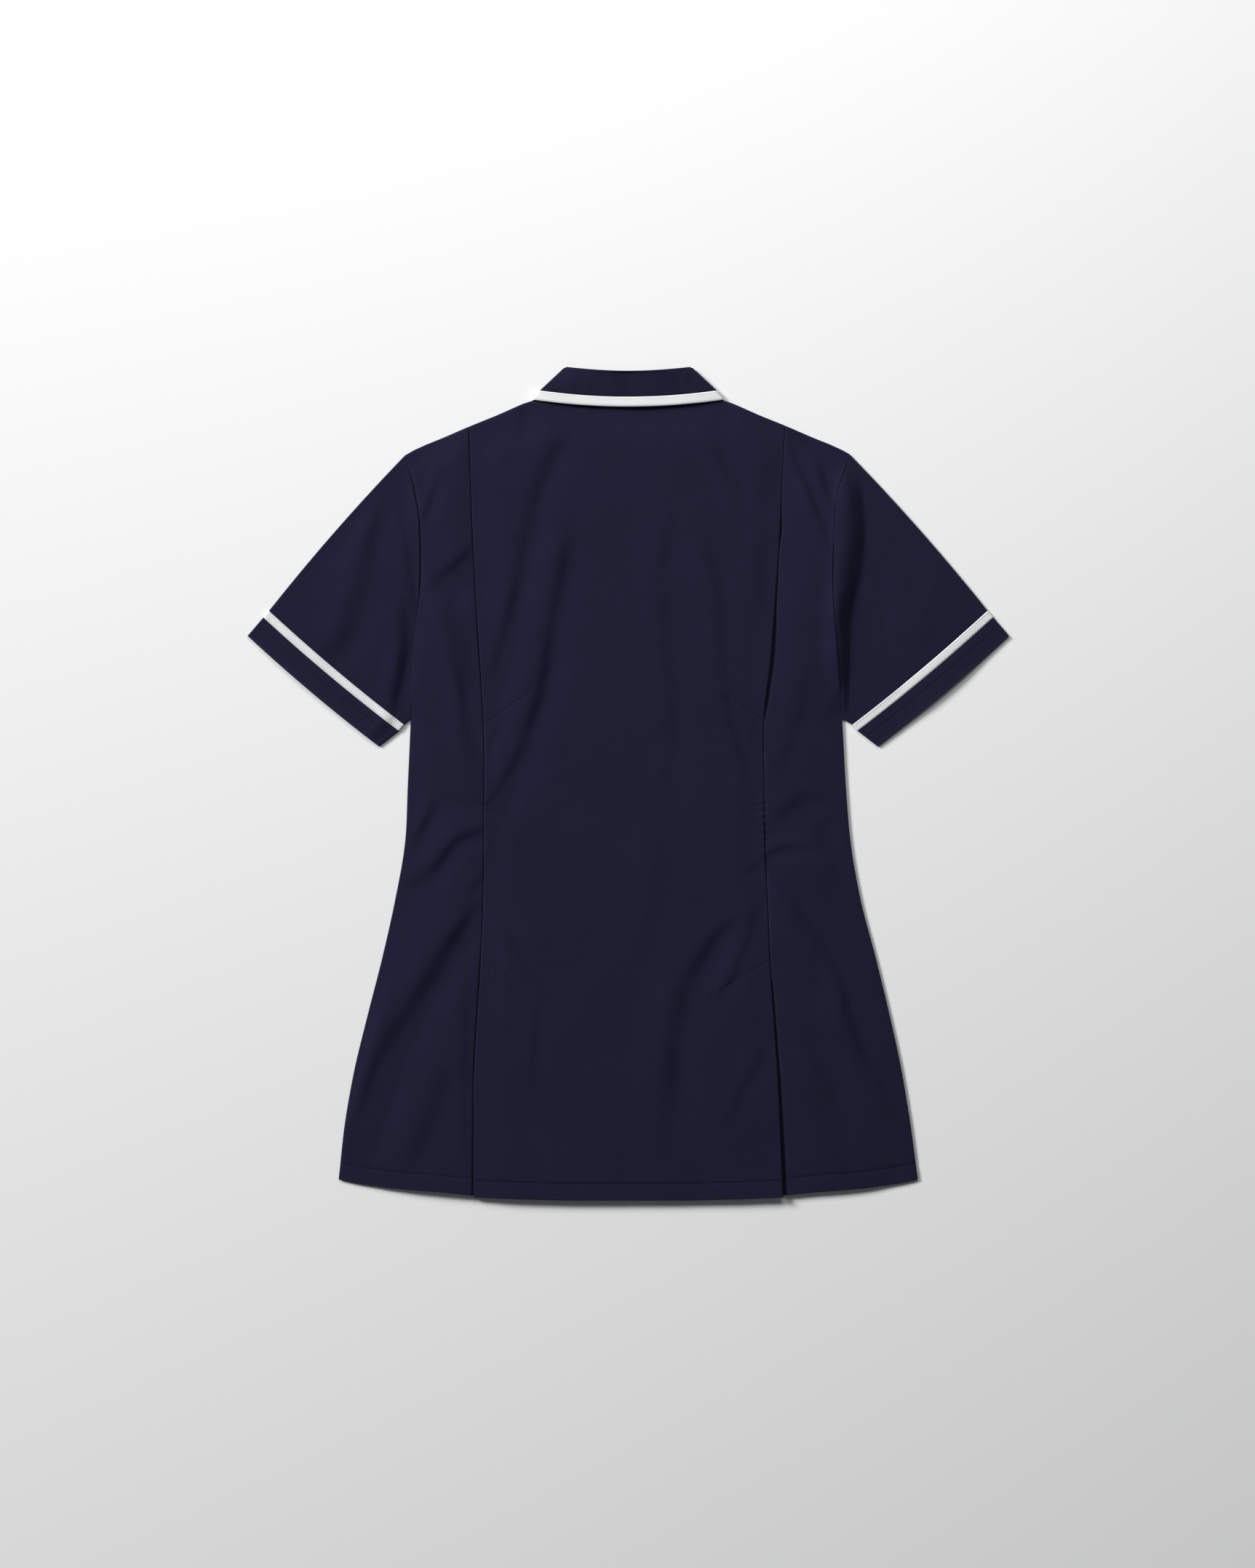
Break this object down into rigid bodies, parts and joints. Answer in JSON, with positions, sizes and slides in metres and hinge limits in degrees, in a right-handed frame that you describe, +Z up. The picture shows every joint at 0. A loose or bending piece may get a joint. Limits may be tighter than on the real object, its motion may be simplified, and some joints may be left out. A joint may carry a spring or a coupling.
{
  "type": "short-sleeved healthcare tunic",
  "caption": "Short-sleeved work tunic laid flat, back upwards: turned-down collar, braid-edged collar and sleeves, pleated back panels, flared skirt.",
  "frame": {"origin": "centre of the garment's outline, on the surface that it lies on", "axes": "+Y runs up the garment from hem to collar, +X across it from the left sleeve to the right one as seen from above, +Z up from the surface"},
  "size_m": [0.711, 0.7778, 0.0071],
  "materials": {
    "navy_cloth": "matt woven polyester-cotton, dark navy",
    "white_braid": "matt ribbed white braid"
  },
  "bodies": {
    "root": {"back_centre": "navy_cloth", "back_side_left": "navy_cloth", "back_side_right": "navy_cloth", "front_left": "navy_cloth", "front_right": "navy_cloth", "sleeve_left": "navy_cloth", "sleeve_right": "navy_cloth", "sleeve_trim_left": "white_braid", "sleeve_trim_right": "white_braid", "cuff_left": "navy_cloth", "cuff_right": "navy_cloth", "collar": "navy_cloth", "collar_trim": "white_braid"}
  },
  "joints": []
}
